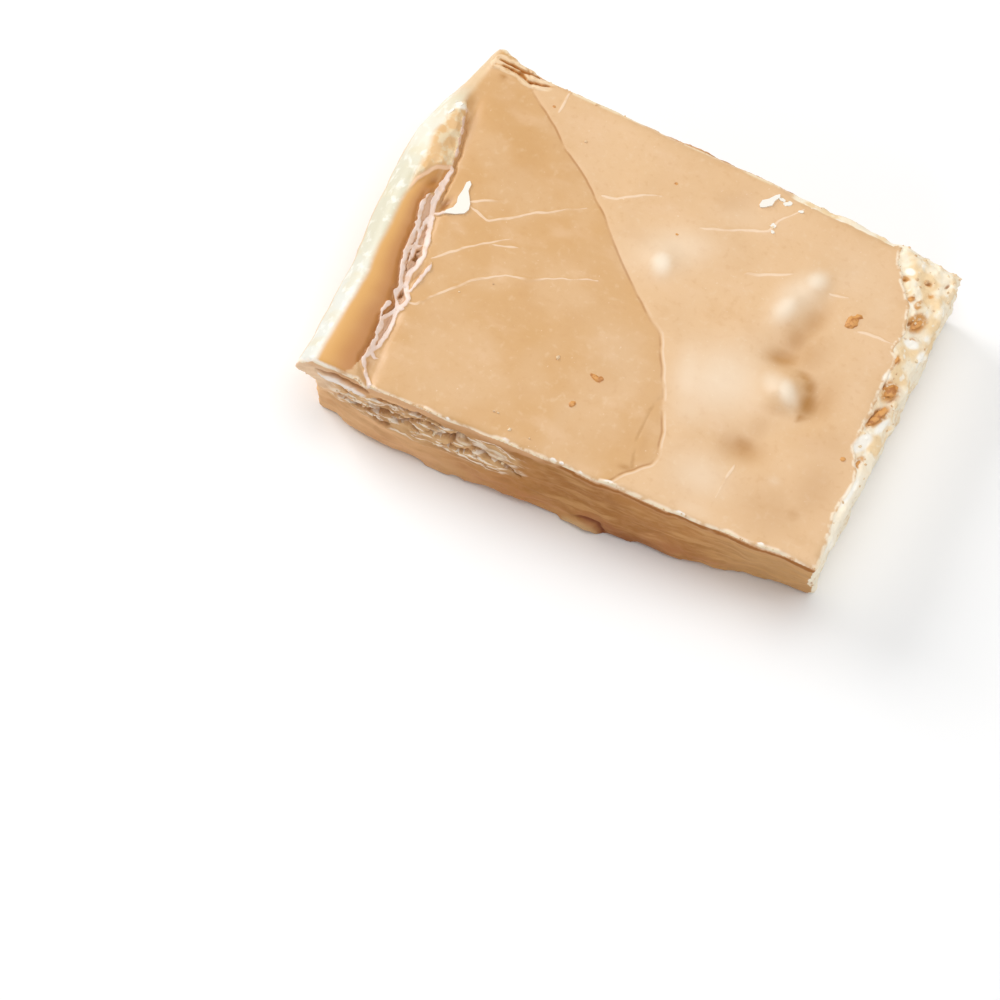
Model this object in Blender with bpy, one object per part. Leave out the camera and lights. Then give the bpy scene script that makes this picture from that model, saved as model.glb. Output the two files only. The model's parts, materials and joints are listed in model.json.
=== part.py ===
"""A hand-cut slice of maple nut fudge, at its real size, in metres, +Z up.

The slice is one piece of firm candy that lies on its flat cut bottom, with its long near side
along X. Its top is the smooth skin of the poured slab, and nut pieces lift it here and there.
On the left the skin rolled over while it was soft, and a crack runs behind that rolled lip. On
the right the skin is torn off and leaves a crumbly ledge. The four sides are ragged cuts: the
near one leans in towards the bottom, and it splits in layers below the skin on its left half.

A plain block is cut into cells first. Each point of it is then moved to its place by the shape
functions, which work in millimetres. A point is named by s along the slice, t across it and w
up it, each from 0 to 1.
"""

import math

import bmesh
import bpy
from mathutils import Color, Vector, noise

MM = 0.001
OBJECT_NAME = "fudge_slice"
COLLECTION_NAME = "maple_nut_fudge"
TOP_COLOUR = "E9BF90"
FULL_CHANNEL = 255.0
ROUGHNESS = 0.45

# Corners of the top skin seen from above: the knife cuts were not quite square.
NEAR_LEFT = Vector((-58.0, -39.6))
NEAR_RIGHT = Vector((55.0, -35.8))
FAR_LEFT = Vector((-52.2, 40.6))
FAR_RIGHT = Vector((55.0, 38.1))

# Height of the top skin over the same corners, and how much the middle stands above them.
HEIGHT_NEAR_LEFT = 22.4
HEIGHT_NEAR_RIGHT = 19.6
HEIGHT_FAR_LEFT = 23.2
HEIGHT_FAR_RIGHT = 21.0
CROWN = 0.8

# The block's cells: how many along, across and up, and how much finer they are at the edges.
CELLS_ALONG = 52
CELLS_ACROSS = 40
CELLS_UP = 8
EDGE_FINENESS = 0.45

# The left side swells out in plan, most at two thirds of the way to the far corner.
LEFT_SWELL = 6.2
LEFT_SWELL_SKEW = 1.95

# The rolled lip between the left edge and the crack, whose line runs slightly askew. One
# column of cells follows the crack, which stays at least the least width from the edge.
CRACK_COLUMN = 8
LIP_LEAST_WIDTH = 3.5
CRACK_MIDDLE_X = -47.2
CRACK_SLANT = -0.129
CRACK_DEPTH = 1.3
CRACK_REACH = 1.1
CRACK_FAR_END_Y = 27.0
CRACK_FADE = 6.0
LIP_CROWN = 1.1
LIP_ROLL_DROP = 2.4
LIP_ROLL_WIDTH = 4.4
LIP_ROLL_IN = 0.6

# Below the lip the body stands back, most at the near corner, where the lip hangs over.
LEFT_STAND_BACK = 2.4
LEFT_CORNER_STAND_BACK = 1.2
OVERHANG_FROM = 0.55
OVERHANG_TO = 0.86
CORNER_REACH = 0.16

# The near side: how far its bottom stands back at the left corner, and towards the right one,
# and where it swells out between them, as rows of place along it, reach and amount.
NEAR_LEFT_STAND_BACK = 2.0
NEAR_LEFT_REACH = 0.07
NEAR_RIGHT_STAND_BACK = 3.5
NEAR_STAND_BACK_FROM = 0.66
NEAR_SWELLS = ((0.28, 0.20, 2.0), (0.66, 0.22, 0.6))

# The right and far sides lean in towards the bottom by the same small amount.
PLAIN_STAND_BACK = 1.7

# Splits between layers on the left half of the near side.
SPLIT_LEVEL = 0.74
SPLIT_REACH = 0.06
SPLIT_DEPTH = 1.3
SPLIT_FROM = 0.08
SPLIT_TO = 0.46

# The torn ledge on the right: width at the near end, its three widenings (from, to, extra
# width), the step down from the skin and the fall to its outer edge.
LEDGE_WIDTH = 0.5
LEDGE_WIDENINGS = ((0.30, 0.44, 3.4), (0.60, 0.80, 1.5), (0.84, 1.00, 4.6))
LEDGE_STEP = 0.8
LEDGE_FALL = 1.3
LEDGE_EDGE = 0.9
LEDGE_RELIEF = 1.1
LEDGE_GRAIN = 3.2
LEDGE_FULL_WIDTH = 4.0

# A narrow strip along the right part of the far edge has lost its skin too.
FAR_STRIP_WIDTH = 1.6
FAR_STRIP_DROP = 0.9
FAR_STRIP_FROM = 0.62
FAR_STRIP_FADE = 0.08

# The far left corner broke up into a flake that lifts and pushes out past the cut.
FLAKE_CENTRE = Vector((-50.5, 41.0))
FLAKE_REACH = 5.5
FLAKE_LIFT = 1.0
FLAKE_PUSH = Vector((-1.3, 2.2))
FLAKE_FROM = 0.5

# Nut pieces under the skin: middle x and y, half length, half width, turn in degrees, height.
NUT_BUMPS = (
    (27.0, 17.3, 7.0, 3.4, 62.0, 1.3),
    (33.6, -3.6, 3.6, 3.3, 0.0, 1.7),
    (-0.8, 12.3, 4.6, 3.8, 20.0, 0.9),
    (16.5, -8.5, 9.0, 6.0, 60.0, 0.5),
    (20.5, 7.5, 6.5, 4.5, 35.0, 0.5),
)

# Hollows between the bumps, in the same order, with depths for heights.
HOLLOWS = (
    (39.6, -2.4, 4.2, 5.0, 0.0, 0.9),
    (30.8, 4.4, 4.4, 3.2, 20.0, 0.9),
    (32.2, -17.8, 5.0, 4.4, 30.0, 0.8),
    (37.6, -9.0, 4.8, 2.8, 40.0, 0.6),
    (46.2, -27.0, 4.0, 3.4, 0.0, 0.3),
)

# A crumb stays pressed against the foot of the near side, and a chip is missing beside it.
CRUMB_X = 6.3
CRUMB_Z = 1.6
CRUMB_REACH = 3.3
CRUMB_PUSH = 2.2
CHIP_X = -14.8
CHIP_Z = 0.6
CHIP_REACH = 1.9
CHIP_DEPTH = 1.5

# Roughness of the cut sides and the slight unevenness of the skin.
CUT_GRAIN = 5.5
CUT_RELIEF = 0.9
CUT_TOP_SHARE = 0.35
CUT_TOP_POWER = 4
CUT_REACH_IN = 1.6
SKIN_GRAIN = 17.0
SKIN_RELIEF = 0.28
FRACTAL_DIMENSION = 0.6
FRACTAL_GAIN = 2.1
OCTAVES = 4

LONG, ACROSS, UP = 0, 1, 2


def mix(first, second, share):
    return first + (second - first) * share


def smooth_step(low, high, value):
    """0 below low, 1 above high, and a smooth rise between them."""
    share = min(max((value - low) / (high - low), 0.0), 1.0)
    return share * share * (3.0 - 2.0 * share)


def hump(distance, reach):
    """1 at no distance, and almost 0 past twice the reach."""
    return math.exp(-((distance / reach) ** 2))


def relief(x, y, z, grain):
    """Uneven height, about -1 to 1, whose features are as wide as the grain."""
    place = Vector((x, y, z)) / grain
    return noise.fractal(place, FRACTAL_DIMENSION, FRACTAL_GAIN, OCTAVES)


def eased(share):
    """Moves evenly spaced cuts closer together near 0 and 1."""
    turn = 2.0 * math.pi
    return share - EDGE_FINENESS * math.sin(turn * share) / turn


def left_edge(t):
    swell = LEFT_SWELL * math.sin(math.pi * t**LEFT_SWELL_SKEW)
    return mix(NEAR_LEFT.x, FAR_LEFT.x, t) - swell


def right_edge(t):
    return mix(NEAR_RIGHT.x, FAR_RIGHT.x, t)


def crack_line(y, t):
    """The crack's place along the slice."""
    return max(CRACK_MIDDLE_X + CRACK_SLANT * y, left_edge(t) + LIP_LEAST_WIDTH)


def lip_share():
    """How far along the block the crack's column of cells stands."""
    return eased(CRACK_COLUMN / CELLS_ALONG)


def outline(s, t):
    """Where the point is seen from above, before its side is made rough."""
    near = mix(NEAR_LEFT, NEAR_RIGHT, s)
    far = mix(FAR_LEFT, FAR_RIGHT, s)
    y = mix(near.y, far.y, t)
    crack_x = crack_line(y, t)
    lip = lip_share()
    if s < lip:
        return Vector((mix(left_edge(t), crack_x, s / lip), y))
    return Vector((mix(crack_x, right_edge(t), (s - lip) / (1.0 - lip)), y))


def turned_hump(x, y, row):
    """One row of NUT_BUMPS or HOLLOWS as a height at x, y."""
    middle_x, middle_y, half_length, half_width, turn, height = row
    angle = math.radians(turn)
    along = (x - middle_x) * math.cos(angle) + (y - middle_y) * math.sin(angle)
    aside = (y - middle_y) * math.cos(angle) - (x - middle_x) * math.sin(angle)
    return height * hump(math.hypot(along / half_length, aside / half_width), 1.0)


def lip_height(x, y, t):
    """The rolled lip, which falls off at the left edge, and the crack behind it."""
    left_x = left_edge(t)
    crack_x = crack_line(y, t)
    fade = 1.0 - smooth_step(CRACK_FAR_END_Y, CRACK_FAR_END_Y + CRACK_FADE, y)
    height = -CRACK_DEPTH * hump(x - crack_x, CRACK_REACH) * fade
    from_edge = max(x - left_x, 0.0)
    rest = max(1.0 - from_edge / LIP_ROLL_WIDTH, 0.0)
    height -= LIP_ROLL_DROP * rest * rest
    width = crack_x - left_x
    if from_edge < width:
        height += LIP_CROWN * math.sin(math.pi * from_edge / width) * fade
    return height


def ledge_height(x, y, t, right_x):
    """The torn ledge: 0 on the skin, then a ragged step and a fall to the right edge."""
    width = LEDGE_WIDTH
    for start, end, extra in LEDGE_WIDENINGS:
        width += extra * smooth_step(start, end, t)
    share = smooth_step(0.0, LEDGE_FULL_WIDTH, width)
    width += share * LEDGE_EDGE * relief(x, y, 0.0, LEDGE_GRAIN)
    into = width - (right_x - x)
    torn = smooth_step(0.0, LEDGE_EDGE, into)
    fall = LEDGE_FALL * max(into, 0.0) / max(width, LEDGE_EDGE)
    rough = LEDGE_RELIEF * relief(x, y, width, LEDGE_GRAIN)
    return -torn * share * (LEDGE_STEP + fall - rough)


def far_strip_height(s, from_far):
    """The narrow strip along the far edge: 0 on the skin, and its drop where it is bare."""
    bare = 1.0 - smooth_step(FAR_STRIP_WIDTH / 2.0, FAR_STRIP_WIDTH, from_far)
    bare *= smooth_step(FAR_STRIP_FROM, FAR_STRIP_FROM + FAR_STRIP_FADE, s)
    return -FAR_STRIP_DROP * bare


def top_height(s, t, point):
    """Height of the top over the bottom."""
    near = mix(HEIGHT_NEAR_LEFT, HEIGHT_NEAR_RIGHT, s)
    far = mix(HEIGHT_FAR_LEFT, HEIGHT_FAR_RIGHT, s)
    height = mix(near, far, t)
    height += CROWN * math.sin(math.pi * s) * math.sin(math.pi * t)
    height += SKIN_RELIEF * relief(point.x, point.y, 0.0, SKIN_GRAIN)
    height += sum(turned_hump(point.x, point.y, row) for row in NUT_BUMPS)
    height -= sum(turned_hump(point.x, point.y, row) for row in HOLLOWS)
    height += lip_height(point.x, point.y, t)
    height += ledge_height(point.x, point.y, t, right_edge(t))
    height += far_strip_height(s, outline(s, 1.0).y - point.y)
    height += FLAKE_LIFT * hump((point - FLAKE_CENTRE).length, FLAKE_REACH)
    return height


def left_stand_back(t, w):
    """How far the left side stands in from the lip's edge."""
    below_lip = 1.0 - smooth_step(OVERHANG_FROM, OVERHANG_TO, w)
    stand_back = LEFT_STAND_BACK + LEFT_CORNER_STAND_BACK * hump(t, CORNER_REACH)
    return below_lip * stand_back + LIP_ROLL_IN * smooth_step(OVERHANG_TO, 1.0, w)


def near_stand_back(s, w, x, z):
    """How far the near side stands in from the skin's edge, with its split, crumb and chip."""
    below_lip = 1.0 - smooth_step(OVERHANG_FROM, OVERHANG_TO, w)
    depth = NEAR_LEFT_STAND_BACK * hump(s, NEAR_LEFT_REACH) * below_lip
    for place, reach, amount in NEAR_SWELLS:
        depth -= amount * hump(s - place, reach) * (1.0 - w)
    depth += NEAR_RIGHT_STAND_BACK * smooth_step(NEAR_STAND_BACK_FROM, 1.0, s) * (1.0 - w)
    split = smooth_step(SPLIT_FROM, SPLIT_FROM + CORNER_REACH, s)
    split *= 1.0 - smooth_step(SPLIT_TO - CORNER_REACH, SPLIT_TO, s)
    depth += SPLIT_DEPTH * split * hump(w - SPLIT_LEVEL, SPLIT_REACH)
    depth -= CRUMB_PUSH * hump(math.hypot(x - CRUMB_X, z - CRUMB_Z), CRUMB_REACH)
    depth += CHIP_DEPTH * hump(math.hypot(x - CHIP_X, z - CHIP_Z), CHIP_REACH)
    return depth


def placed(s, t, w):
    """The point's place in millimetres. What moves a side dies out a little way in."""
    point = outline(s, t)
    height = w * top_height(s, t, point)
    by_left = math.exp((left_edge(t) - point.x) / CUT_REACH_IN)
    by_right = math.exp((point.x - right_edge(t)) / CUT_REACH_IN)
    by_near = math.exp((outline(s, 0.0).y - point.y) / CUT_REACH_IN)
    by_far = math.exp((point.y - outline(s, 1.0).y) / CUT_REACH_IN)
    rough = CUT_RELIEF * mix(1.0, CUT_TOP_SHARE, w**CUT_TOP_POWER)
    along = rough * relief(point.y, height, point.x, CUT_GRAIN)
    across = rough * relief(point.x, point.y, height, CUT_GRAIN)
    lean = PLAIN_STAND_BACK * (1.0 - w)
    move_x = left_stand_back(t, w) * max(1.0 - s / lip_share(), 0.0)
    move_x += along * by_left - (lean + along) * by_right
    move_y = (near_stand_back(s, w, point.x, height) + across) * by_near
    move_y -= (lean + across) * by_far
    lifted = hump((point - FLAKE_CENTRE).length, FLAKE_REACH) * smooth_step(FLAKE_FROM, 1.0, w)
    point += Vector((move_x, move_y)) + FLAKE_PUSH * lifted
    return Vector((point.x, point.y, height))


def block_of_cells():
    """A block from 0 to 1 each way, cut into cells, with an undivided bottom."""
    mesh = bmesh.new()
    bmesh.ops.create_cube(mesh, size=1.0)
    lowest = min(point.co.z for point in mesh.verts)
    bmesh.ops.translate(mesh, verts=mesh.verts, vec=(-lowest, -lowest, -lowest))
    for axis, cells in ((LONG, CELLS_ALONG), (ACROSS, CELLS_ACROSS), (UP, CELLS_UP)):
        normal = Vector((0.0, 0.0, 0.0))
        normal[axis] = 1.0
        for number in range(1, cells):
            share = number / cells
            station = share if axis == UP else eased(share)
            everything = mesh.verts[:] + mesh.edges[:] + mesh.faces[:]
            bmesh.ops.bisect_plane(
                mesh, geom=everything, plane_co=normal * station, plane_no=normal
            )
    bottom = [face for face in mesh.faces if face.calc_center_median().z <= 0.0]
    bmesh.ops.dissolve_faces(mesh, faces=bottom)
    return mesh


def centre_over_origin(mesh):
    """Moves the middle of the box over the origin. The bottom is at height 0 already."""
    along = [point.co.x for point in mesh.verts]
    across = [point.co.y for point in mesh.verts]
    middle = Vector((min(along) + max(along), min(across) + max(across), 0.0)) / 2.0
    bmesh.ops.translate(mesh, verts=mesh.verts, vec=-middle)


def linear_colour(text):
    """A colour written as RRGGBB, as the linear values that a shader takes."""
    red, green, blue = bytes.fromhex(text)
    colour = Color((red, green, blue)) / FULL_CHANNEL
    return (*colour.from_srgb_to_scene_linear(), 1.0)


def fudge_material():
    material = bpy.data.materials.new("fudge")
    material.use_nodes = True
    shader = material.node_tree.nodes["Principled BSDF"]
    shader.inputs["Base Color"].default_value = linear_colour(TOP_COLOUR)
    shader.inputs["Roughness"].default_value = ROUGHNESS
    shader.inputs["Metallic"].default_value = 0.0
    return material


def fudge_slice(collection):
    mesh = block_of_cells()
    for point in mesh.verts:
        point.co = placed(*point.co) * MM
    centre_over_origin(mesh)
    bmesh.ops.recalc_face_normals(mesh, faces=mesh.faces)
    data = bpy.data.meshes.new(OBJECT_NAME)
    mesh.to_mesh(data)
    mesh.free()
    data.materials.append(fudge_material())
    collection.objects.link(bpy.data.objects.new(OBJECT_NAME, data))


def main():
    for old in list(bpy.data.objects):
        bpy.data.objects.remove(old)
    collection = bpy.data.collections.new(COLLECTION_NAME)
    bpy.context.scene.collection.children.link(collection)
    fudge_slice(collection)


main()
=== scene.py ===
# %% [markdown]
# # A slice of maple nut fudge
#
# Fudge is boiled sugar, butter and milk, beaten until fine crystals form, then poured in a slab
# and cut by hand. The slice has a smooth, slightly waxy skin on top and crumbly cut sides. This
# file takes the plain solid of the slice as its frame, gives it a fine surface, and adds what
# broke, flaked or was stirred in. Everything is in metres, with +Z up and the long near side
# along X. Places on the slice are written in millimetres.

# %% Load the frame
import json
import math

import bpy
import numpy as np
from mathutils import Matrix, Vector, kdtree, noise

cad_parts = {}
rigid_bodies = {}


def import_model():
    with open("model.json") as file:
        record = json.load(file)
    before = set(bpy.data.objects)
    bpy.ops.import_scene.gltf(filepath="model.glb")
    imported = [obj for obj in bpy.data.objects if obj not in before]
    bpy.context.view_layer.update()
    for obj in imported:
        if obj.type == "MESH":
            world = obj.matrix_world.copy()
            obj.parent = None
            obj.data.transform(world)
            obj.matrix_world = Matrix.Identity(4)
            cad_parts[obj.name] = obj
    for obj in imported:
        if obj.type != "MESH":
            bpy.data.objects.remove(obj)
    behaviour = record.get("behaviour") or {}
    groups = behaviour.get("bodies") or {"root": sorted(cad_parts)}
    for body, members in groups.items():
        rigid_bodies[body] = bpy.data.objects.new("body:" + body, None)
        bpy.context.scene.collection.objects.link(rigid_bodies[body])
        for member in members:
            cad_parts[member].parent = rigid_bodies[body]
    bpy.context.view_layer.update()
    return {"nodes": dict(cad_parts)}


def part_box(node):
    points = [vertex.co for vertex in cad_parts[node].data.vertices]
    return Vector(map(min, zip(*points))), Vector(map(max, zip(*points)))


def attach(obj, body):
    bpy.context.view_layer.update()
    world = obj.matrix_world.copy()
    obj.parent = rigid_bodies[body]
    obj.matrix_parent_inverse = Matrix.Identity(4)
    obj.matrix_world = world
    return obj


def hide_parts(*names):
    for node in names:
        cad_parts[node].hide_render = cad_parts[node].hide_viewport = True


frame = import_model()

MM = 0.001
low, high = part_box("fudge_slice")
print("slice box in mm:", [round(v / MM, 1) for v in (high - low)])

# %% [markdown]
# ## The camera
#
# The slice is seen from above through a long lens, so its edges hardly converge. The camera's
# direction is given as a compass turn and a height angle. A `track quaternion` turns the
# camera's own -Z axis to look along it, which saves working out angles by hand.

# %% Camera at the viewing angle
AIM = Vector((-4.3, -50.9, 22.0)) * MM
DISTANCE = 0.82
TURN = math.radians(26.0)
HEIGHT_ANGLE = math.radians(65.0)
LENS = 150.0
SENSOR_WIDTH = 36.0

towards_camera = Vector((
    math.sin(TURN) * math.cos(HEIGHT_ANGLE),
    -math.cos(TURN) * math.cos(HEIGHT_ANGLE),
    math.sin(HEIGHT_ANGLE),
))
bpy.ops.object.camera_add(location=AIM + towards_camera * DISTANCE)
camera = bpy.context.object
camera.rotation_euler = towards_camera.to_track_quat("Z", "Y").to_euler()
camera.data.lens = LENS
camera.data.sensor_width = SENSOR_WIDTH
camera.data.clip_start = 0.01
bpy.context.scene.camera = camera
print("camera height in mm:", round(camera.location.z / MM))

# %% [markdown]
# ## The body's start
#
# The slice itself is one piece. Its solid is right in size and form but made of coarse flat
# triangles. A copy of that mesh is merged, because the solid comes as loose triangles, and then
# a voxel remesh lays an even skin of small squares over it. Even squares are what smoothing,
# pushing and fine subdivision need. A subdivision surface would also round it, but it keeps the
# long thin triangles, which show as creases in the gloss.

# %% Copy, merge and remesh
SQUARE = 0.9 * MM


def only(piece):
    """Selects one piece and makes it the one that operators act on."""
    bpy.ops.object.select_all(action="DESELECT")
    piece.select_set(True)
    bpy.context.view_layer.objects.active = piece


def applied(piece, kind, **settings):
    """Adds a modifier with its settings and applies it to the mesh at once."""
    only(piece)
    modifier = piece.modifiers.new(kind.lower(), kind)
    for name, value in settings.items():
        setattr(modifier, name, value)
    bpy.ops.object.modifier_apply(modifier=modifier.name)


def edit_all():
    """Enters edit mode with the whole mesh selected."""
    bpy.ops.object.mode_set(mode="EDIT")
    bpy.ops.mesh.select_all(action="SELECT")


body = bpy.data.objects.new("fudge_body", frame["nodes"]["fudge_slice"].data.copy())
bpy.context.collection.objects.link(body)
only(body)
edit_all()
bpy.ops.mesh.remove_doubles(threshold=0.001 * MM)
bpy.ops.object.mode_set(mode="OBJECT")
applied(body, "REMESH", mode="VOXEL", voxel_size=SQUARE)
applied(body, "SMOOTH", factor=0.5, iterations=4)
print("squares after the remesh:", len(body.data.polygons))

# %% [markdown]
# ## Reading the mesh
#
# All later work is placed by position: which points lie near the crack, which on a cut side.
# Small readers give every point's place, its normal, and its distance from a drawn line. They
# use arrays, because a mesh this fine has about a hundred thousand points.

# %% Readers
ALONG, ACROSS, UP = 0, 1, 2


def read(items, what):
    """One vector of every point or face, as rows of x, y, z."""
    flat = np.empty(len(items) * 3)
    items.foreach_get(what, flat)
    return flat.reshape(-1, 3)


def spots():
    """The place of every point of the body in millimetres."""
    return read(body.data.vertices, "co") / MM


def ramp(value, start, end):
    """0 at the start value, 1 at the end value, smooth between. The start may be the larger."""
    share = np.clip((value - start) / (end - start), 0.0, 1.0)
    return share * share * (3.0 - 2.0 * share)


def hump(distance, reach):
    """1 at no distance, almost 0 past twice the reach."""
    return np.exp(-((distance / reach) ** 2))


def uneven(places, grain, shift=0.0):
    """Smooth noise from -1 to 1 at each place, whose features are as wide as the grain."""
    offset = Vector((shift, shift, shift))
    return np.array([noise.noise(Vector(place) / grain + offset) for place in places])


# %% Lines
def drawn(points, waver=0.2, grain=1.5, step=0.5):
    """A line through given points, cut into short steps that waver like a crack."""
    points = np.array(points, float)
    walked = np.concatenate(([0.0], np.cumsum(np.linalg.norm(np.diff(points, axis=0), axis=1))))
    stations = np.linspace(0.0, walked[-1], max(2, round(walked[-1] / step)))
    line = np.stack([np.interp(stations, walked, column) for column in points.T], axis=1)
    for axis, column in enumerate(line.T):
        rows = [(station, 7.0 * axis, points[0][0]) for station in stations]
        column += waver * uneven(rows, grain)
    return line


def beside(line, plan):
    """How far each place is from a line, positive on its left, and how far along from 0 to 1."""
    nearest = np.full(len(plan), np.inf)
    side = np.ones(len(plan))
    travel = np.zeros(len(plan))
    walked = 0.0
    for start, end in zip(line, line[1:]):
        step = end - start
        length = np.linalg.norm(step)
        reach = plan - start
        share = np.clip(reach @ step / length**2, 0.0, 1.0)
        away = np.linalg.norm(reach - share[:, None] * step, axis=1)
        closer = away < nearest
        nearest[closer] = away[closer]
        side[closer] = np.sign(step[0] * reach[:, 1] - step[1] * reach[:, 0])[closer]
        travel[closer] = (walked + share * length)[closer]
        walked += length
    return np.where(side == 0.0, 1.0, side) * nearest, travel / walked


# %% [markdown]
# ## Where things are on the slice
#
# The marks on the slice are chance breaks, so their routes are given as points, in millimetres, x along
# the slice and y across it. While the slab was soft its edge rolled over into a lip, and the skin
# behind the lip tore. Strands of torn skin part and meet along that crack. A pour seam crosses the top
# where a second ladle of fudge ran over the first. All places on the top are measured from a point just
# beyond the middle of the box.

# %% Routes on the top
MARKED_FROM = np.array((0.0, 0.94))

RIGHT_STRAND = drawn((
    (-49.0, 24.0), (-48.0, 20.5), (-46.6, 15.0), (-45.7, 10.0), (-45.7, 5.6), (-45.6, 2.3),
    (-44.4, -2.0), (-43.1, -6.0), (-41.9, -9.8), (-42.7, -14.0), (-42.6, -16.0), (-41.8, -18.1),
    (-40.4, -20.0), (-40.5, -21.5), (-41.5, -22.8), (-40.8, -27.2), (-41.1, -31.6), (-42.1, -34.4),
))
LEFT_STRAND = drawn((
    (-46.0, 4.4), (-47.2, 3.0), (-47.1, 0.5), (-46.2, -3.6), (-45.7, -7.5), (-45.5, -11.0),
    (-44.7, -14.0), (-43.0, -18.0),
    (-43.2, -20.0), (-41.6, -22.6), (-42.9, -26.2), (-42.3, -29.7), (-42.0, -32.6), (-42.4, -35.8),
    (-41.6, -37.4), (-40.2, -39.0), (-38.9, -40.5),
))
THIN_STRANDS = [drawn(points) for points in (
    ((-41.9, 1.0), (-43.4, 0.1), (-44.5, -0.2), (-45.2, 0.4)),
    ((-45.2, 1.5), (-45.0, -4.9), (-44.3, -10.2), (-43.9, -13.5)),
    ((-40.8, -18.3), (-40.3, -15.6), (-39.9, -13.4), (-39.5, -11.4), (-40.2, -9.2)),
    ((-43.2, -22.4), (-43.9, -24.6), (-43.2, -27.0)),
    ((-46.4, -4.0), (-44.8, -6.0)),
    ((-45.3, -9.5), (-43.2, -7.5)),
    ((-41.6, -22.6), (-39.8, -22.4)),
    ((-41.9, -33.4), (-40.7, -34.6), (-39.7, -34.0)),
)]
LIP_BREAK = drawn(((-52.6, 0.8), (-51.3, 2.2), (-50.6, 4.8), (-49.6, 6.9), (-48.4, 9.2), (-46.2, 10.8)))
FLANK_LINE = drawn((
    (-50.9, -43.0), (-50.7, -35.0), (-50.4, -25.6), (-50.0, -20.5), (-51.0, -12.5), (-51.3, -4.8),
    (-51.3, 5.0), (-51.7, 10.5), (-52.2, 16.7), (-51.6, 21.0), (-50.4, 25.0), (-49.6, 30.0),
    (-48.6, 44.0),
), waver=0.4, grain=4.0)

# %% Seam, cracks and the torn edge
POUR_SEAM = drawn((
    (-46.0, 44.0), (-38.5, 34.0), (-34.2, 31.0), (-31.2, 29.0), (-26.9, 24.9), (-19.8, 20.5),
    (-13.0, 14.3), (-6.8, 7.8), (-2.0, 3.3), (4.4, -2.0), (8.5, -5.0), (11.9, -11.4), (15.0, -17.6),
    (17.9, -24.2), (19.4, -29.0), (18.8, -31.2), (16.8, -33.2), (14.8, -35.2), (12.0, -40.0),
    (8.0, -46.0),
), waver=0.25, grain=3.0)
SEAM_BRANCH = drawn(((14.6, -17.3), (13.7, -20.6), (13.8, -26.4), (14.7, -30.4), (15.8, -33.4)))
HAIR_CRACKS = [drawn(points, waver=0.3, grain=2.0) for points in (
    ((-41.5, -21.3), (-38.3, -20.0), (-34.0, -14.6), (-29.5, -9.7), (-25.0, -6.8), (-21.0, -5.6),
     (-15.0, -2.5), (-8.0, 0.5)),
    ((-38.5, 4.5), (-34.0, 3.0), (-30.0, 5.5), (-25.5, 9.0), (-17.0, 14.5)),
    ((-38.9, 5.4), (-33.0, 8.7)),
    ((-40.5, -9.8), (-39.4, -8.8), (-35.1, -4.4), (-31.5, -1.6), (-26.3, 2.1)),
    ((-30.5, -1.5), (-25.0, 0.0)),
    ((-15.5, 18.3), (-12.5, 19.0), (-8.0, 22.5), (-4.5, 23.7)),
    ((33.7, -24.0), (33.3, -32.0)),
    ((5.5, 20.5), (10.7, 22.6), (18.5, 26.3), (19.0, 29.3), (22.8, 34.0)),
    ((43.8, 13.6), (51.6, 14.4)),
    ((35.0, 18.6), (39.0, 19.5)),
    ((18.0, 15.0), (28.0, 19.8)),
    ((-31.8, 37.5), (-31.7, 32.0)),
)]
TORN_LINE = drawn((
    (43.0, 40.0), (44.5, 32.0), (50.8, 23.2), (52.4, 17.4), (51.5, 13.5), (53.3, 10.9),
    (53.0, 4.2), (53.3, -3.8), (53.3, -9.7), (56.7, -16.1), (55.9, -24.7), (57.8, -36.0),
), waver=0.45)
FLAP_SLITS = [drawn(points) for points in (
    ((-48.4, 36.5), (-46.8, 36.9), (-45.2, 36.8), (-42.8, 36.6), (-40.6, 35.9), (-37.9, 36.3),
     (-35.2, 37.2)),
    ((-47.9, 37.8), (-45.2, 37.7), (-42.4, 37.4), (-39.5, 37.8), (-36.6, 38.2)),
)]

# %% [markdown]
# ## Splits in the near side
#
# The left half of the near side broke open along its layers. These routes are written as x
# along the side and z up it. The first one lies just under the skin of the lip. The last one
# arches over a lump that half broke off at the foot of the side.

# %% Routes on the near side
LIP_SLIT = drawn(((-50.5, 20.4), (-46.8, 20.7), (-43.3, 20.5), (-38.6, 19.5)), waver=0.1)
FISSURES = [drawn(points, waver=0.4, grain=1.6) for points in (
    ((-46.0, 16.2), (-43.9, 14.4), (-40.5, 14.7), (-37.1, 15.0), (-33.8, 14.3), (-30.4, 14.6),
     (-27.0, 16.3), (-23.7, 15.2)),
    ((-39.9, 11.1), (-38.1, 12.3), (-35.8, 13.4), (-33.5, 12.6), (-30.1, 12.9), (-27.5, 12.0)),
    ((-37.9, 9.7), (-36.4, 8.8), (-34.3, 10.1)),
    ((-45.8, 11.4), (-43.4, 10.4), (-40.8, 11.2)),
    ((-26.6, 13.4), (-23.7, 13.9), (-21.0, 14.6), (-19.2, 15.6), (-16.8, 15.0)),
    ((-22.6, 11.1), (-20.0, 12.2), (-17.0, 12.8), (-14.6, 12.0)),
    ((-16.0, 14.4), (-14.2, 13.7), (-11.1, 13.1)),
    ((-10.6, 13.2), (-9.0, 12.6), (-7.4, 12.0), (-5.2, 10.4)),
    ((-37.5, 17.9), (-31.0, 18.4), (-26.0, 18.0), (-22.0, 17.4), (-17.0, 17.2)),
)]
FOOT_CREASE = drawn((
    (2.6, 0.4), (4.2, 2.3), (6.6, 3.4), (9.2, 3.9), (11.4, 3.2), (12.8, 0.5),
), waver=0.3)

# %% [markdown]
# ## Finer squares where the detail is
#
# The skin is smooth, so coarse squares are enough there. The cut sides need squares of half a
# millimetre, and the cracks and the torn ledge need a quarter. Selecting those faces by place
# and subdividing only them keeps the whole piece under 200,000 triangles. The flat bottom is
# never seen, so its squares are dissolved into one face.

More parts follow.
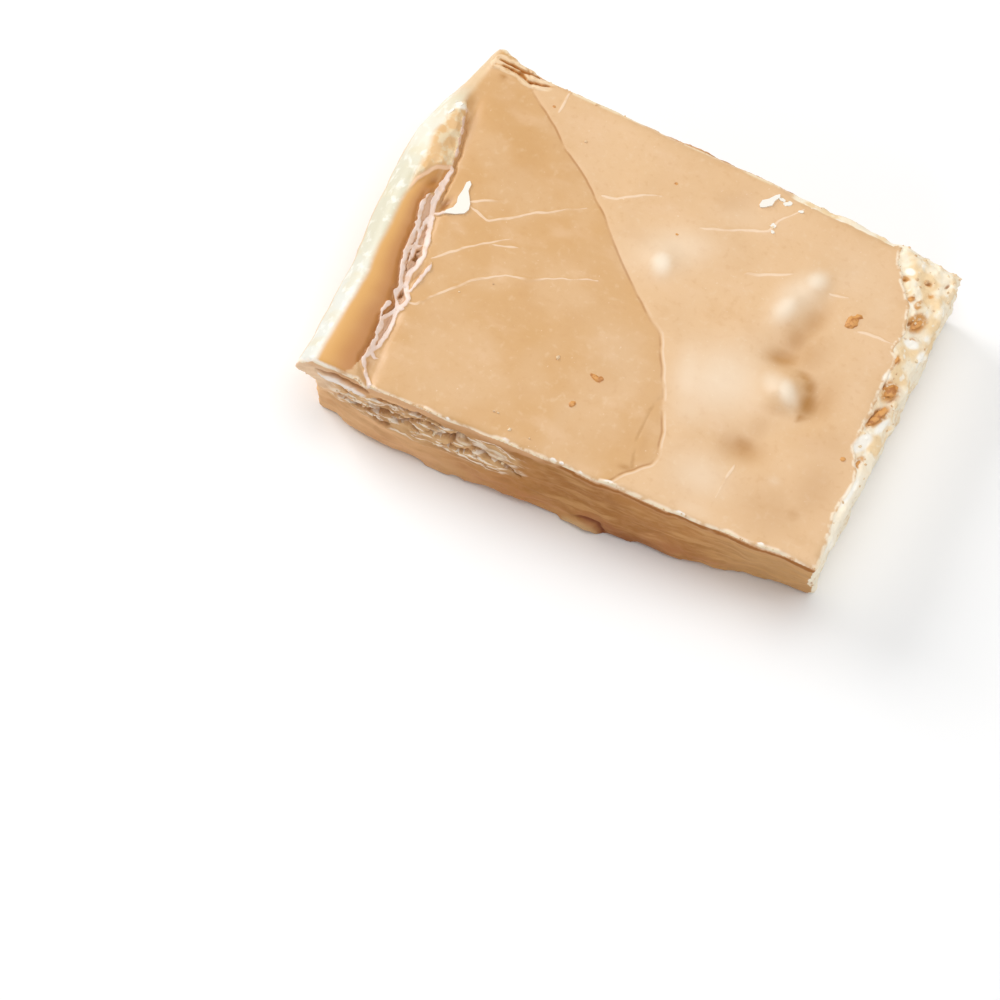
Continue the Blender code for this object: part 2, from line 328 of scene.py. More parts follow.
# %% Selecting faces by place
def pick_faces(chosen):
    """Selects faces of the body from a list of yes and no, and enters edit mode."""
    only(body)
    bpy.context.tool_settings.mesh_select_mode = (False, False, True)
    bpy.ops.object.mode_set(mode="EDIT")
    bpy.ops.mesh.select_all(action="DESELECT")
    bpy.ops.object.mode_set(mode="OBJECT")
    body.data.polygons.foreach_set("select", np.array(chosen, bool))
    bpy.ops.object.mode_set(mode="EDIT")


def face_places():
    """The middle in millimetres and the normal of every face of the body."""
    return read(body.data.polygons, "center") / MM, read(body.data.polygons, "normal")


BOTTOM_HEIGHT = 0.3
DOWNWARD = -0.9
middles, turned = face_places()
pick_faces((middles[:, UP] < BOTTOM_HEIGHT) & (turned[:, UP] < DOWNWARD))
bpy.ops.mesh.dissolve_faces()
bpy.ops.object.mode_set(mode="OBJECT")
print("faces without the bottom:", len(body.data.polygons))

# %% Quarter squares along the marks
STEEP = 0.62
STRAND_REACH = 2.0
HAIR_REACH = 0.7
SPLIT_REACH = 1.3
TORN_REACH = -0.8
TORN_FROM = 40.0
FACES_NEAR = -0.4

middles, turned = face_places()
plan = middles[:, :2] - MARKED_FROM
on_skin = turned[:, UP] > STEEP
fine = np.zeros(len(plan), bool)
for line in (RIGHT_STRAND, LEFT_STRAND, LIP_BREAK, *THIN_STRANDS, *FLAP_SLITS):
    fine |= np.abs(beside(line, plan)[0]) < STRAND_REACH
for line in HAIR_CRACKS:
    fine |= np.abs(beside(line, plan)[0]) < HAIR_REACH
fine |= (beside(TORN_LINE, plan)[0] > TORN_REACH) & (plan[:, ALONG] > TORN_FROM)
fine &= on_skin
in_face = middles[:, [ALONG, UP]]
for line in (LIP_SLIT, *FISSURES):
    in_split = np.abs(beside(line, in_face)[0]) < SPLIT_REACH
    fine |= in_split & (turned[:, ACROSS] < FACES_NEAR)
pick_faces(fine)
bpy.ops.mesh.subdivide(number_cuts=1)
bpy.ops.mesh.subdivide(number_cuts=1)
bpy.ops.object.mode_set(mode="OBJECT")
print("faces after the marks:", len(body.data.polygons))

# %% Half squares on the sides and the seam
SEAM_REACH = 1.8
ALREADY_FINE = 0.6 * SQUARE

middles, turned = face_places()
plan = middles[:, :2] - MARKED_FROM
steep = (turned[:, UP] < STEEP) & (turned[:, UP] > DOWNWARD)
in_seam = (np.abs(beside(POUR_SEAM, plan)[0]) < SEAM_REACH) & (turned[:, UP] > STEEP)
sizes = np.empty(len(body.data.polygons))
body.data.polygons.foreach_get("area", sizes)
pick_faces((steep | in_seam) & (sizes > ALREADY_FINE**2))
bpy.ops.mesh.subdivide(number_cuts=1)
bpy.ops.object.mode_set(mode="OBJECT")
applied(body, "SMOOTH", factor=0.5, iterations=3)
print("faces after the sides:", len(body.data.polygons))

# %% [markdown]
# ## Masks and pushes
#
# Every break in the surface is made as a sculptor would: a mask is painted over some points, and
# only those are pushed in or out. A vertex group is the mask, and a Displace modifier is the
# push. Without a texture it moves all of the mask by the same amount. With a texture it makes
# grains and layers, and an empty's size, in millimetres along x, y and z, sets how long and how
# high they are. Sculpting by hand would look as good but could not be run again.

# %% Paint and push
LEAST_WEIGHT = 0.004


def push(weights, amount, direction="NORMAL", grain=None, kind="CLOUDS", middle=0.5, **look):
    """Moves the body's masked points by an amount in millimetres. A grain gives a texture."""
    mask = body.vertex_groups.new(name="mask")
    for point in np.flatnonzero(weights > LEAST_WEIGHT):
        mask.add([int(point)], float(min(weights[point], 1.0)), "REPLACE")
    settings = {"vertex_group": "mask", "strength": amount * MM, "direction": direction,
                "mid_level": 0.0}
    if grain:
        texture = bpy.data.textures.new("grain", kind)
        texture.noise_scale = 1.0
        for name, value in look.items():
            setattr(texture, name, value)
        bpy.ops.object.empty_add()
        stretch = bpy.context.object
        stretch.scale = Vector(grain) * MM
        settings.update(texture=texture, texture_coords="OBJECT", texture_coords_object=stretch,
                        mid_level=middle)
    applied(body, "DISPLACE", **settings)
    body.vertex_groups.remove(body.vertex_groups["mask"])
    if grain:
        bpy.data.objects.remove(stretch)
        bpy.data.textures.remove(texture)


def distance_from(chosen, places):
    """How far each place is from the nearest chosen one."""
    tree = kdtree.KDTree(len(chosen))
    for number, place in enumerate(chosen):
        tree.insert(place, number)
    tree.balance()
    return np.array([tree.find(place)[2] for place in places])


# %% [markdown]
# ## Masks for the sides and edges
#
# The masks are read once, from the smooth form, before any push roughens it. Three noises,
# broad, small and tiny, are read with them and make the edges of later masks ragged. The lip's
# outer flank is steep but it is poured skin, not a cut, so it is kept out of the cut sides.

# %% Sides, edges and noise
at = spots()
turn = read(body.data.vertex_normals, "vector")
plan = at[:, :2] - MARKED_FROM
x, y = plan.T
z = at[:, UP]
broad = uneven(at, 5.0, shift=2.0)
small = uneven(at, 1.8, shift=5.0)
tiny = uneven(at, 0.8)
to_flank = beside(FLANK_LINE, plan)[0]
near = ramp(turn[:, ACROSS], -0.35, -0.65)
lip_outside = ramp(to_flank, -0.6, 0.2) * (1.0 - near)
lip_outside *= ramp(z + 1.6 * broad + 0.9 * small, 13.0, 14.6)
lip_outline = lip_outside * ramp(turn[:, UP], 0.62, 0.35)
side = ramp(turn[:, UP], 0.6, 0.3) * (1.0 - lip_outside)
near = near * side
right = side * ramp(turn[:, ALONG], 0.35, 0.65)
off_bottom = ramp(z, 0.2, 1.4)
from_near = distance_from(at[near > 0.9], at)
from_far = distance_from(at[(side > 0.9) & (turn[:, ACROSS] > 0.5)], at)
from_right = distance_from(at[right > 0.9], at)
from_edge = np.minimum(np.minimum(from_near, from_far), from_right)
below_top = distance_from(at[turn[:, UP] > 0.85], at)
print("points:", len(at), "of them on the cut sides:", int((side > 0.5).sum()))

# %% [markdown]
# ## Distances to the marks
#
# Each mark gets one signed distance, below 0 inside the mark. The same numbers shape the
# surface here and colour it later, so a pale strand lies exactly on its ridge. A distance stays
# sharp between points, where a painted yes or no would blur. Noise in the width makes a strand
# ragged, and a width that shrinks along the line tapers a hair crack.

# %% Distances to strands and cracks
ON_TOP_FROM = 0.4
FAR_AWAY = 9.0


def to_lines(lines, places, half_width):
    """Distance to the nearest line, less a half width that follows the way along it."""
    found = np.full(len(places), FAR_AWAY)
    for line in lines:
        away, travel = beside(line, places)
        found = np.minimum(found, np.abs(away) - half_width(travel))
    return found


to_right = beside(RIGHT_STRAND, plan)[0]
to_left, left_travel = beside(LEFT_STRAND, plan)
to_break = beside(LIP_BREAK, plan)[0]
ragged = 0.30 * small + 0.20 * tiny
right_width = 0.15 + 0.44 * ramp(y, 14.0, 6.0) - 0.16 * ramp(y, -16.0, -24.0) + ragged
left_width = 0.1 + 0.3 * ramp(left_travel, 0.0, 0.1) + ragged
strand = np.minimum(np.abs(to_right) - right_width, np.abs(to_left) - left_width)
thin = to_lines(THIN_STRANDS, plan, lambda way: 0.26 * ramp(way, 1.0, 0.6) + 0.05 + ragged)
strand = np.minimum(strand, thin)
strand = np.where(from_near < ON_TOP_FROM, ON_TOP_FROM, strand)
hair = to_lines(HAIR_CRACKS, plan, lambda way: (
    0.19 * ramp(way, -0.05, 0.12) * ramp(way, 1.05, 0.6) + 0.14 * broad + 0.10 * small))
flap_slit = to_lines(FLAP_SLITS, plan, lambda way: 0.2 * np.sin(np.pi * way) + 0.22 * small)
print("points inside the strands:", int((strand < 0.0).sum()))

# %% Distances to the seam, the torn edge and the splits
NO_SPLIT = 2.0

to_seam = beside(POUR_SEAM, plan)[0]
to_seam_branch = beside(SEAM_BRANCH, plan)[0]
into_torn = np.where(x > 38.0, beside(TORN_LINE, plan)[0], -FAR_AWAY)

in_face = at[:, [ALONG, UP]]
fissure = to_lines(FISSURES, in_face, lambda way: (
    0.5 * np.sin(np.pi * np.clip(way, 0.0, 1.0)) ** 0.5 + 0.5 * small + 0.35 * tiny))
to_lip_slit = beside(LIP_SLIT, in_face)[0]
lip_slit = to_lines([LIP_SLIT], in_face, lambda way: (
    0.5 * np.sin(np.pi * way) ** 0.5 + 0.12 * small))
on_near = near > 0.3
fissure, lip_slit = (
    np.where(on_near, np.minimum(away, NO_SPLIT), NO_SPLIT) for away in (fissure, lip_slit))
over_crumb = np.where(on_near, beside(FOOT_CREASE, in_face)[0], FAR_AWAY)
print("points inside the splits:", int((fissure < 0.0).sum()))


# %% [markdown]
# ## The nuts under the skin
#
# Nut pieces lie just under the skin and lift it. The fudge sank a little round them as it
# cooled. The solid has these bumps in a soft form. Here each gets its firmer crown and the
# hollow beside it, as soft round spots that are pushed up and down.

# %% Crowns and hollows
def patch(rows):
    """Soft spots, 1 at the middle: rows of x, y, half length, half width, turn, strength."""
    total = np.zeros(len(x))
    for middle_x, middle_y, length, width, angle, strength in rows:
        cosine, sine = math.cos(math.radians(angle)), math.sin(math.radians(angle))
        ahead = (x - middle_x) * cosine + (y - middle_y) * sine
        aside = (y - middle_y) * cosine - (x - middle_x) * sine
        total = np.maximum(total, strength * hump(np.hypot(ahead / length, aside / width), 1.0))
    return total * ramp(z, 10.0, 14.0)


CROWNS = (
    (32.0, 19.4, 3.2, 2.4, 70.0, 0.8),
    (28.6, 11.2, 4.2, 2.6, 75.0, 0.9),
    (36.8, -5.8, 4.2, 3.4, -42.0, 0.55),
    (2.0, 9.4, 3.0, 2.4, 110.0, 0.8),
)
HOLLOWS = (
    (41.4, -4.2, 4.8, 2.6, 98.0, 0.8),
    (38.4, 0.2, 3.0, 1.8, -20.0, 0.5),
    (32.8, 2.0, 3.6, 2.2, 20.0, 0.6),
    (36.8, -9.6, 3.6, 1.8, 5.0, 0.25),
    (33.6, -19.2, 4.0, 2.8, 0.0, 0.35),
    (34.6, 9.4, 7.0, 2.8, 84.0, 0.6),
)
push(patch(CROWNS), 0.85, "Z")
push(patch(HOLLOWS), -0.8, "Z")
top = ramp(turn[:, UP], 0.7, 0.9)
push(top, 0.22, "Z", grain=(6.0, 6.0, 6.0))

# %% [markdown]
# ## The crack behind the rolled lip
#
# What shows is a valley at the foot of the lip, and ragged strands of skin along it with
# narrow dark gaps between them. The strands are raised ridges of the same mesh, because they
# are the same skin, and a separate strip would leave a seam. Above the break in the lip the
# valley is filled with broken facets, so that stretch is raised and cut by Voronoi cells.

# %% Facets, strands and gaps
CRACK_HOLES = (
    (-47.6, 6.2, 1.5, 0.7, 75.0, 0.6),
    (-43.3, 2.8, 2.4, 0.9, 80.0, 1.0),
    (-42.4, -19.6, 1.1, 0.5, 80.0, 0.9),
    (-42.0, -26.0, 1.6, 0.4, 95.0, 0.45),
    (-43.3, -10.2, 1.8, 0.45, 70.0, 0.55),
    (-44.5, -3.4, 2.4, 0.4, 75.0, 0.5),
    (-41.1, -14.2, 1.6, 0.5, 75.0, 0.6),
    (-41.2, -36.2, 1.3, 0.45, 100.0, 0.5),
)
above_break = ramp(to_break, 0.1, 0.9) * ramp(to_flank, 0.6, -0.4) * ramp(y, 27.0, 23.0)
facets = above_break * ramp(to_right, 0.3, -0.3)
push(facets, 0.8, "Z")
push(facets, 0.8, "Z", grain=(2.2, 3.6, 3.0), kind="VORONOI", middle=0.5)

outside_strand = ramp(strand, -0.05, 0.2) * ramp(from_near, 0.3, 1.2)
foot = hump(to_left + 0.75, 0.5) * ramp(y, 5.0, 2.0) * outside_strand
shadow_line = hump(to_right - right_width - 0.4, 0.38) * ramp(y, 0.5, 4.0) * ramp(y, 25.0, 22.0)
between = ramp(to_left, -0.1, 0.3) * ramp(to_right, 0.1, -0.3) * ramp(y, 4.5, 2.5) * outside_strand
holes = np.maximum(patch(CRACK_HOLES) * outside_strand, between * ramp(small + 0.5 * tiny, 0.1, 0.5))
push(ramp(strand, 0.22, -0.12) * (0.75 + 0.35 * small), 0.5, "Z")
push(np.maximum(holes, 0.2 * between), -0.8, "Z")
push(foot, -0.25, "Z")
push(shadow_line, -0.4, "Z")
fold = hump(to_break, 0.5) * ramp(to_flank, 0.4, -0.4) * ramp(to_right, 0.3, -0.3)
push(fold * (0.7 + 0.4 * small), 0.5, "Z")
push(ramp(flap_slit, 0.15, -0.15), -0.9, "Z")
push(hump(flap_slit - 0.75, 0.4) * ramp(x, -36.0, -38.0), 0.3, "Z")

# %% [markdown]
# ## The skin
#
# The pour seam is a shallow groove, and the later pour stands a little higher on its right. The
# hair cracks healed as thin raised lines. Along the near edge the knife lifted the skin into a
# fine rim, which curls up higher in a few white bits.

# %% Seam, hair cracks and rim
RIM_BITS = ((-21.5, 0.7), (-9.2, 1.3), (1.2, 0.9), (3.0, 0.6), (7.1, 0.8), (13.0, 1.2),
            (28.6, 1.3), (45.5, 0.9))
off_edge = ramp(from_edge, 0.0, 1.5)
uneven_seam = 0.65 + 0.6 * broad
push(hump(to_seam + 0.1, 0.38) * off_edge * uneven_seam, -0.16, "Z")
push(ramp(to_seam, -0.1, 0.5) * ramp(to_seam, 9.0, 2.0) * off_edge, 0.1, "Z")
push(hump(to_seam_branch, 0.4) * off_edge, -0.1, "Z")
push(ramp(hair, 0.25, -0.1) * off_edge, 0.1, "Z")
rim = hump(from_near - 0.4, 0.45) * ramp(turn[:, UP], 0.5, 0.8) * (0.55 + 0.9 * small)
rim_bits = np.zeros(len(x))
for rim_x, half_length in RIM_BITS:
    rim_bits = np.maximum(rim_bits, hump(x - rim_x, half_length) * hump(from_near - 0.7, 0.5))
rim_bits *= ramp(turn[:, UP], 0.4, 0.7)
push(np.clip(rim, 0.0, 1.0), 0.4, "Z")
push(rim_bits, 0.35, "Z")

# %% [markdown]
# ## The torn ledge
#
# On the right the skin came off with the neighbouring slice. The bare fudge there is lumpy, with
# pits where nut pieces fell out. Voronoi cells push it into lumps of a few millimetres, and
# finer clouds roughen them. A narrow strip of the far edge is bare too, and the bare part ends
# raggedly a few millimetres down the sides.

# %% Lumps and pits
PITS = (
    (51.9, 30.6, 0.8, 0.5, 30.0, 0.8),
    (55.6, 32.2, 1.0, 0.5, 70.0, 0.8),
    (47.3, 28.8, 0.9, 0.5, 20.0, 0.7),
    (55.3, 25.9, 0.6, 0.5, 0.0, 0.6),
    (52.2, 20.3, 1.3, 0.5, 60.0, 0.9),
    (52.9, 17.0, 0.7, 0.4, 20.0, 0.6),
    (53.2, 11.3, 1.2, 0.5, 80.0, 0.6),
    (53.2, 4.8, 1.9, 0.5, 80.0, 1.0),
    (55.6, 3.6, 1.4, 0.4, 60.0, 0.6),
    (53.8, -1.6, 2.9, 0.5, 75.0, 0.9),
    (55.2, -13.1, 2.0, 0.4, 80.0, 0.8),
)
bare = ramp(into_torn, -0.1, 0.4)
far_strip = ramp(from_far + 0.4 * small, 2.2, 1.6) * ramp(x, 17.0, 22.0)
way_down = below_top + 0.9 * small + 0.9 * tiny + 1.5 * broad
bare = np.maximum(bare, far_strip) * ramp(way_down, 4.4, 2.4)
pits = patch(PITS) * bare
wide_ledge = bare * ramp(x, 36.0, 42.0) * ramp(y, -14.0, -8.0)
push(bare, -0.3, "Z")
push(wide_ledge, 1.2, "NORMAL", grain=(4.4, 4.4, 3.6), kind="VORONOI", middle=0.6)
push(wide_ledge, 0.9, "Z", grain=(3.0, 3.0, 2.4))
push(bare, 0.35, "NORMAL", grain=(1.4, 1.4, 1.4))
push(bare, 0.18, "NORMAL", grain=(0.7, 0.7, 0.7))
push(pits, -0.7, "Z")

# %% [markdown]
# ## The cut sides
#
# A knife drags through firm fudge and breaks it along its layers. Stretched clouds make long
# low steps, stretched Voronoi cells make the creases between flakes, and small clouds make the
# crumb. The left half of the near side split deepest: its fissures are pushed straight in, and
# hard-edged clouds make the flakes between them. The right side tore from its neighbour and gets
# rounder lumps. At the foot of the near side a lump is pushed out, with a crease round it.

# %% Layers, creases, crumb and fissures
left_half = ramp(x, 8.0, -8.0)
under_rim = ramp(below_top, 0.2, 1.8)
loose = side * off_bottom * under_rim
roughness = loose * np.where(near > 0.5, 0.24 + 0.56 * left_half, 1.0)
flaky = near * ramp(x + 3.0 * small, -1.0, -13.0)
flaky *= ramp(z + small, 7.5, 11.0) * ramp(z, 19.0, 16.5)
push(roughness, 1.1, "NORMAL", grain=(11.0, 11.0, 2.6))
push(roughness, 0.6, "NORMAL", grain=(7.0, 7.0, 1.8), kind="VORONOI", middle=0.4)
push(loose * right * ramp(below_top, 0.5, 3.0), 1.1, "NORMAL", grain=(4.4, 4.4, 3.6),
     kind="VORONOI", middle=0.5)
push(np.maximum(roughness, 0.5 * loose), 0.7, "NORMAL", grain=(1.8, 1.8, 1.0))
push(loose * (1.0 - 0.5 * near), 0.3, "NORMAL", grain=(1.0, 1.0, 0.8))
push(flaky * (0.4 + 0.6 * ramp(x, -14.0, -24.0)), 0.8, "NORMAL", grain=(5.0, 5.0, 1.1),
     noise_type="HARD_NOISE", middle=0.4)
push(ramp(fissure, 0.3, -0.2) * near, 2.1, "Y")
push(ramp(lip_slit, 0.3, -0.2) * near, 1.5, "Y")
push(hump(over_crumb - 0.2, 0.6) * off_bottom * (0.3 + 0.7 * ramp(x, 5.0, 10.0)), 0.7, "Y")
push(ramp(over_crumb, -0.2, -1.2) * (0.8 + 0.5 * small), -0.6, "Y")
under_slit = hump(to_lip_slit + 1.3, 0.6) * ramp(x, -51.0, -49.0) * ramp(x, -38.0, -41.0) * near
push(under_slit, -0.7, "Y")

# %% Flatten the bottom
pick_faces(np.zeros(len(body.data.polygons)))
bpy.context.tool_settings.mesh_select_mode = (True, False, False)
bpy.ops.object.mode_set(mode="OBJECT")
body.data.vertices.foreach_set("select", spots()[:, UP] < BOTTOM_HEIGHT)
bpy.ops.object.mode_set(mode="EDIT")
bpy.ops.transform.resize(value=(1.0, 1.0, 0.0), center_override=(0.0, 0.0, 0.0))
bpy.ops.object.mode_set(mode="OBJECT")
print("lowest point in mm:", round(float(spots()[:, UP].min()), 3))

# %% [markdown]
# ## Marks for the material
#
# The distances are kept on the mesh as attributes, one number per point, which the material reads. They
# follow the surface, so they hold from any side. Skin that is stretched over a nut is paler, and the
# pale places also carry a painted highlight on the lit sides of the nut bumps. The warm places are
# mostly painted shade round and between the bumps, with a few warmer patches of skin.

# %% Pale and warm places
# Pale places: skin over nuts, with a painted highlight on the lit sides of the bumps.
PALE_AND_HIGHLIGHT = (
    (2.0, 9.6, 3.2, 2.4, 110.0, 1.0),
    (2.5, 13.5, 11.0, 6.0, 35.0, 0.5),
    (31.8, 19.6, 3.2, 2.6, 65.0, 0.85),
    (28.8, 11.6, 4.4, 2.8, 75.0, 0.8),
    (29.8, 15.4, 8.5, 4.8, 68.0, 0.55),
    (36.6, -5.4, 3.4, 2.1, -46.0, 1.0),
    (33.4, -4.8, 4.4, 3.2, -30.0, 0.6),
    (42.3, -23.7, 1.6, 1.2, 0.0, 0.35),
    (23.8, -8.6, 11.5, 9.5, 30.0, 0.54),
    (29.0, -1.5, 6.0, 5.0, 0.0, 0.32),
    (17.8, -10.5, 4.5, 9.0, 18.0, 0.5),
    (20.6, -17.0, 6.0, 4.6, 0.0, 0.36),
    (3.0, -12.0, 14.0, 8.0, -35.0, 0.26),
    (12.0, 27.0, 9.0, 5.0, 20.0, 0.24),
    (38.0, 25.0, 9.0, 7.0, 0.0, 0.24),
    (28.5, -29.0, 8.5, 6.5, 0.0, 0.42),
    (30.5, -36.0, 6.0, 2.5, 0.0, 0.3),
    (-20.0, -33.5, 11.0, 3.5, 5.0, 0.14),
    (-33.0, -24.0, 7.0, 7.0, 0.0, 0.14),
    (46.0, 20.0, 4.0, 9.0, 0.0, 0.2),
    (48.5, 2.0, 3.0, 8.0, 0.0, 0.18),
)
# Warm places: mostly painted shade beside and between the nut bumps, with a few warmer skin patches.
WARM_AND_SHADE = (
    (40.4, -1.8, 2.8, 1.9, -62.0, 0.8),
    (41.5, -5.0, 3.6, 2.1, 92.0, 0.95),
    (41.2, -8.8, 1.1, 0.8, 60.0, 0.9),
    (43.6, -3.8, 3.8, 5.4, 0.0, 0.5),
    (32.6, 2.0, 4.4, 2.6, 20.0, 0.72),
    (33.6, 6.6, 4.6, 3.0, 86.0, 0.66),
    (35.6, -9.8, 3.4, 1.4, 8.0, 0.36),
    (33.6, -19.2, 3.4, 2.4, 0.0, 0.8),
    (33.6, -19.8, 5.6, 3.6, 5.0, 0.6),
    (34.8, -14.8, 3.0, 4.8, 0.0, 0.36),
    (38.6, -0.2, 2.8, 1.4, -20.0, 0.7),
    (48.0, -12.0, 8.0, 6.0, 20.0, 0.3),
    (34.9, 11.2, 6.0, 2.8, 78.0, 0.58),
    (43.0, -2.0, 7.0, 7.0, 0.0, 0.36),
    (37.5, 4.5, 5.0, 6.0, 0.0, 0.42),
    (50.0, -22.0, 6.0, 10.0, 0.0, 0.38),
    (44.0, -30.0, 10.0, 8.0, 0.0, 0.34),
    (48.5, -28.5, 2.4, 1.8, 0.0, 0.5),
    (9.0, 29.0, 6.0, 4.0, 30.0, 0.3),
    (-33.0, 22.0, 13.0, 15.0, 0.0, 0.22),
    (-42.0, 30.0, 7.0, 6.0, 0.0, 0.2),
    (15.6, -27.0, 5.4, 1.3, 102.0, 0.3),
    (14.5, -34.1, 1.6, 0.7, 10.0, 0.7),
    (-45.6, 34.4, 1.1, 0.8, 0.0, 0.8),
    (22.0, 26.0, 14.0, 5.0, 5.0, 0.1),
)
ORANGE_BITS = (
    (53.3, 21.2, 2.8, 1.5, 65.0, 1.0),
    (54.6, 17.6, 1.2, 1.0, 0.0, 0.6),
    (54.5, 5.0, 2.8, 2.2, 60.0, 0.8),
    (54.7, -1.4, 3.6, 1.3, 70.0, 1.0),
    (55.4, -12.8, 2.6, 0.8, 80.0, 0.9),
    (53.2, 11.3, 1.6, 0.8, 80.0, 0.8),
    (52.2, 24.8, 1.8, 0.8, 70.0, 0.8),
    (47.3, 29.0, 1.4, 0.9, 0.0, 0.8),
    (50.3, 25.2, 1.4, 0.8, 60.0, 0.7),
    (53.4, 28.3, 1.1, 0.8, 0.0, 0.6),
    (51.9, 30.6, 1.2, 0.8, 0.0, 0.6),
)
WHITE_BITS = (
    (-50.4, 23.8, 2.0, 1.1, 20.0, 0.9),
    (47.7, 30.9, 1.3, 0.9, 0.0, 1.0),
    (56.4, 19.6, 1.4, 1.0, 60.0, 0.6),
    (54.4, 16.6, 1.8, 1.1, 10.0, 1.0),
    (52.9, 7.2, 1.6, 0.8, 70.0, 0.9),
    (57.4, 15.3, 1.4, 2.2, 0.0, 0.8),
    (54.4, -8.2, 3.4, 1.5, 72.0, 1.0),
    (56.4, -2.4, 3.6, 0.9, 75.0, 0.8),
    (56.6, -19.0, 5.0, 1.0, 84.0, 0.8),
    (57.6, -32.0, 7.0, 0.9, 84.0, 0.6),
)

# %% Attributes
down_slope = np.clip(-to_flank / np.maximum(np.abs(to_flank) + np.abs(to_left), 0.1), 0.0, 1.0)
slope = ramp(to_flank, 0.5, -0.9) * ramp(to_left, 0.2, -0.2) * ramp(to_break, 0.5, -0.3) * top
slope *= ramp(to_right, 0.3, -0.1)
MARKS = {
    "outline": lip_outline, "torn_edge": into_torn, "white": patch(WHITE_BITS),
    "from_near": from_near, "right_side": right, "side": side, "edge": from_edge,
    "seam": to_seam, "strand": strand, "hair": hair, "flank": to_flank, "bare": bare,
    "across": y, "along": x, "height": z,
    "gap": np.clip(holes + 0.35 * foot + 0.55 * shadow_line, 0.0, 1.0), "fold": fold,
    "between": between, "facets": facets, "slope": slope, "down_slope": down_slope,
    "flap_slit": flap_slit, "flap": hump(flap_slit - 0.7, 0.5) * ramp(x, -34.0, -37.0),
    "pits": pits, "orange": patch(ORANGE_BITS) * bare, "fissure": np.minimum(fissure, lip_slit),
    "flaky": flaky, "under_slit": under_slit, "pale": patch(PALE_AND_HIGHLIGHT), "warm": patch(WARM_AND_SHADE),
    "below_top": below_top, "over_crumb": over_crumb, "branch": np.abs(to_seam_branch),
    "rim_bits": rim_bits,
}
for name, values in MARKS.items():
    attribute = body.data.attributes.new(name, "FLOAT", "POINT")
    attribute.data.foreach_set("value", np.asarray(values, np.float32))
print("marks on the mesh:", len(MARKS))

# %% [markdown]
# ## Fudge, as a material
#
# Fudge is sugar crystals in butterfat. Its cooled skin is satin and tan, paler where it is
# stretched thin over a nut, and its broken inside is matt, from cream to brown. Colours are
# written as sRGB hex values and turned into the linear values that a shader needs. One helper
# adds a node with its settings and links.

# %% Colours and nodes
FULL_CHANNEL = 255.0


def linear(text):
    """A colour written as RRGGBB, as linear red, green, blue and full alpha."""
    channels = [value / FULL_CHANNEL for value in bytes.fromhex(text)]
    return (*[c / 12.92 if c <= 0.04045 else ((c + 0.055) / 1.055) ** 2.4 for c in channels], 1.0)


def add(tree, kind, inputs=(), **settings):
    """Adds one node. Inputs maps a socket to a value or to another node's output."""
    node = tree.nodes.new("ShaderNode" + kind)
    for name, value in settings.items():
        setattr(node, name, value)
    for socket, value in dict(inputs).items():
        if isinstance(value, bpy.types.NodeSocket):
            tree.links.new(value, node.inputs[socket])
        else:
            node.inputs[socket].default_value = value
    return node


def new_material(name, roughness):
    """A new material, its node tree and its Principled shader."""
    material = bpy.data.materials.new(name)
    material.use_nodes = True
    shader = material.node_tree.nodes["Principled BSDF"]
    shader.inputs["Roughness"].default_value = roughness
    return material, material.node_tree, shader


# %% [markdown]
# ## Coats of colour
#
# The colour is built as a painter glazes: one coat over another, each held back to its place. A
# share is a number on the surface with the two values between which it comes in, so a coat can
# follow an edge, a height, a noise, or several at once, which are multiplied. The noises, called
# grains, are given by their size in millimetres along x, y and z, and by their detail. Flat ones
# draw the layers that firm fudge breaks along.

# %% Coats
MIX_SHARE, MIX_UNDER, MIX_OVER, MIX_COLOUR = 0, 6, 7, 2


def coat(tree, under, over, *shares):
    """Lays one colour over another. A share is a value, its start, its end and its most, or 1."""
    amount = 1.0
    for value, start, end, *most in shares:
        limits = {"Value": value, "From Min": start, "From Max": end}
        limits["To Max"] = most[0] if most else 1.0
        step = add(tree, "MapRange", limits, interpolation_type="SMOOTHSTEP")
        amount = add(tree, "Math", {0: amount, 1: step.outputs[0]}, operation="MULTIPLY").outputs[0]
    under, over = (linear(c) if isinstance(c, str) else c for c in (under, over))
    mixed = add(tree, "Mix", {MIX_SHARE: amount, MIX_UNDER: under, MIX_OVER: over}, data_type="RGBA")
    return mixed.outputs[MIX_COLOUR]


def plain(name, colour, roughness):
    """A material of one even colour."""
    material, _, shader = new_material(name, roughness)
    shader.inputs["Base Color"].default_value = linear(colour)
    return material


def mottled(name, under, over, spread, start, end, roughness):
    """A material of two colours in soft patches, whose spread is in millimetres."""
    material, tree, shader = new_material(name, roughness)
    place = add(tree, "TexCoord").outputs["Object"]
    patches = add(tree, "TexNoise", {"Vector": place, "Scale": 1.0 / (spread * MM)}).outputs[0]
    colour = coat(tree, under, over, (patches, start, end, 0.9))
    tree.links.new(colour, shader.inputs["Base Color"])
    return material


# %% Marks and grains
# Firm fudge: waxy, a little glossy on its skin, and with no shine of its own where it broke.
material, tree, shader = new_material("fudge", 0.8)
place = add(tree, "TexCoord").outputs["Object"]
surface = {name: add(tree, "Attribute", attribute_name=name).outputs["Fac"] for name in MARKS}
GRAINS = {
    "drift": (16.0, 16.0, 16.0, 2.0),
    "smear": (9.0, 5.0, 5.0, 3.0),
    "mottle": (1.5, 1.5, 1.5, 3.0),
    "speck": (0.7, 0.7, 0.7, 2.0),
    "layer": (11.0, 11.0, 2.4, 4.0),
    "streak": (4.0, 4.0, 0.8, 3.0),
    "crumb": (2.2, 2.2, 1.6, 3.0),
    "lump": (4.5, 4.5, 4.5, 2.0),
}
for name, (*size, detail) in GRAINS.items():
    scale = [1.0 / (side_length * MM) for side_length in size]
    stretched = add(tree, "Mapping", {"Vector": place, "Scale": scale}).outputs[0]
    settings = {"Vector": stretched, "Scale": 1.0, "Detail": detail}
    surface[name] = add(tree, "TexNoise", settings).outputs[0]


def glazed(under, *coats):
    """Lays coats one after another: each a colour and its shares, by the mark's or grain's name."""
    for over, *shares in coats:
        under = coat(tree, under, over, *[(surface[name], *limits) for name, *limits in shares])
    return under
